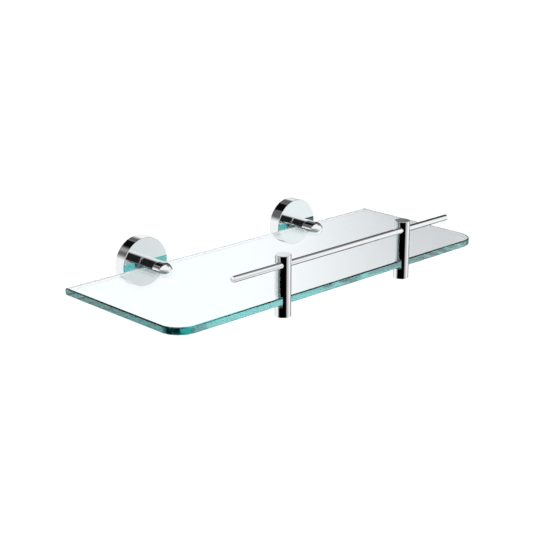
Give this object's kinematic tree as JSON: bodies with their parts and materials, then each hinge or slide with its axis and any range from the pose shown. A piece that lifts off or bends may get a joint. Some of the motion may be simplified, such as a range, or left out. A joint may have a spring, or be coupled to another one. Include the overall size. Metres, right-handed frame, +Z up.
{
  "type": "wall shelf with brackets",
  "caption": "Clear glass wall shelf on slotted round chrome brackets, with a chrome guard rail on posts along its front edge.",
  "frame": {"origin": "on the wall plane, midway between the two brackets, level with the axes of their arms", "axes": "+X along the shelf, to the right as seen from the room; +Y into the wall; +Z up"},
  "size_m": [0.4, 0.178, 0.0655],
  "materials": {
    "glass": "clear float glass with polished green edges",
    "chrome": "bright polished chrome plate",
    "plate": "matt cast metal",
    "screw": "plain stainless steel",
    "liner": "translucent soft liner",
    "pad": "natural nylon"
  },
  "bodies": {
    "brackets": {"wall_plate_left": "plate", "flange_cover_left": "chrome", "bracket_arm_left": "chrome", "arm_fixing_screw_left": "screw", "cover_lock_screw_left": "screw", "arm_liner_left": "liner", "wall_plate_right": "plate", "flange_cover_right": "chrome", "bracket_arm_right": "chrome", "arm_fixing_screw_right": "screw", "cover_lock_screw_right": "screw", "arm_liner_right": "liner"},
    "shelf": {"glass_shelf": "glass", "rail_post_left": "chrome", "post_liner_left": "liner", "rail_lock_screw_left": "screw", "rail_post_right": "chrome", "post_liner_right": "liner", "rail_lock_screw_right": "screw", "guard_rail": "chrome"},
    "arm_clamp_pad_left": {"arm_clamp_pad_left": "pad"},
    "arm_clamp_screw_left": {"arm_clamp_screw_left": "screw"},
    "arm_clamp_pad_right": {"arm_clamp_pad_right": "pad"},
    "arm_clamp_screw_right": {"arm_clamp_screw_right": "screw"},
    "post_clamp_pad_left": {"post_clamp_pad_left": "pad"},
    "post_clamp_screw_left": {"post_clamp_screw_left": "screw"},
    "post_clamp_pad_right": {"post_clamp_pad_right": "pad"},
    "post_clamp_screw_right": {"post_clamp_screw_right": "screw"}
  },
  "joints": [
    {"name": "shelf_slide", "type": "slide", "parent": "brackets", "child": "shelf", "axis": [0, -1, 0], "range_m": [0, 0.06]},
    {"name": "arm_clamp_left_travel", "type": "slide", "parent": "brackets", "child": "arm_clamp_pad_left", "axis": [0, 0, -1], "range_m": [0, 0.0007]},
    {"name": "arm_clamp_left_turn", "type": "hinge", "parent": "arm_clamp_pad_left", "child": "arm_clamp_screw_left", "pos_m": [-0.1015, -0.03002, -0.008], "axis": [0, 0, -1], "range_deg": [0, 360]},
    {"name": "arm_clamp_right_travel", "type": "slide", "parent": "brackets", "child": "arm_clamp_pad_right", "axis": [0, 0, -1], "range_m": [0, 0.0007]},
    {"name": "arm_clamp_right_turn", "type": "hinge", "parent": "arm_clamp_pad_right", "child": "arm_clamp_screw_right", "pos_m": [0.1015, -0.03002, -0.008], "axis": [0, 0, -1], "range_deg": [0, 360]},
    {"name": "post_clamp_left_travel", "type": "slide", "parent": "shelf", "child": "post_clamp_pad_left", "axis": [0, 0, -1], "range_m": [0, 0.0008]},
    {"name": "post_clamp_left_turn", "type": "hinge", "parent": "post_clamp_pad_left", "child": "post_clamp_screw_left", "pos_m": [-0.0729, -0.17065, -0.0126], "axis": [0, 0, -1], "range_deg": [0, 360]},
    {"name": "post_clamp_right_travel", "type": "slide", "parent": "shelf", "child": "post_clamp_pad_right", "axis": [0, 0, -1], "range_m": [0, 0.0008]},
    {"name": "post_clamp_right_turn", "type": "hinge", "parent": "post_clamp_pad_right", "child": "post_clamp_screw_right", "pos_m": [0.0869, -0.17065, -0.0126], "axis": [0, 0, -1], "range_deg": [0, 360]}
  ],
  "couplings": [
    {"joint": "arm_clamp_left_turn", "follows": "arm_clamp_left_travel", "rad_per_m": 8976},
    {"joint": "arm_clamp_right_turn", "follows": "arm_clamp_right_travel", "rad_per_m": 8976},
    {"joint": "post_clamp_left_turn", "follows": "post_clamp_left_travel", "rad_per_m": 7854},
    {"joint": "post_clamp_right_turn", "follows": "post_clamp_right_travel", "rad_per_m": 7854}
  ]
}
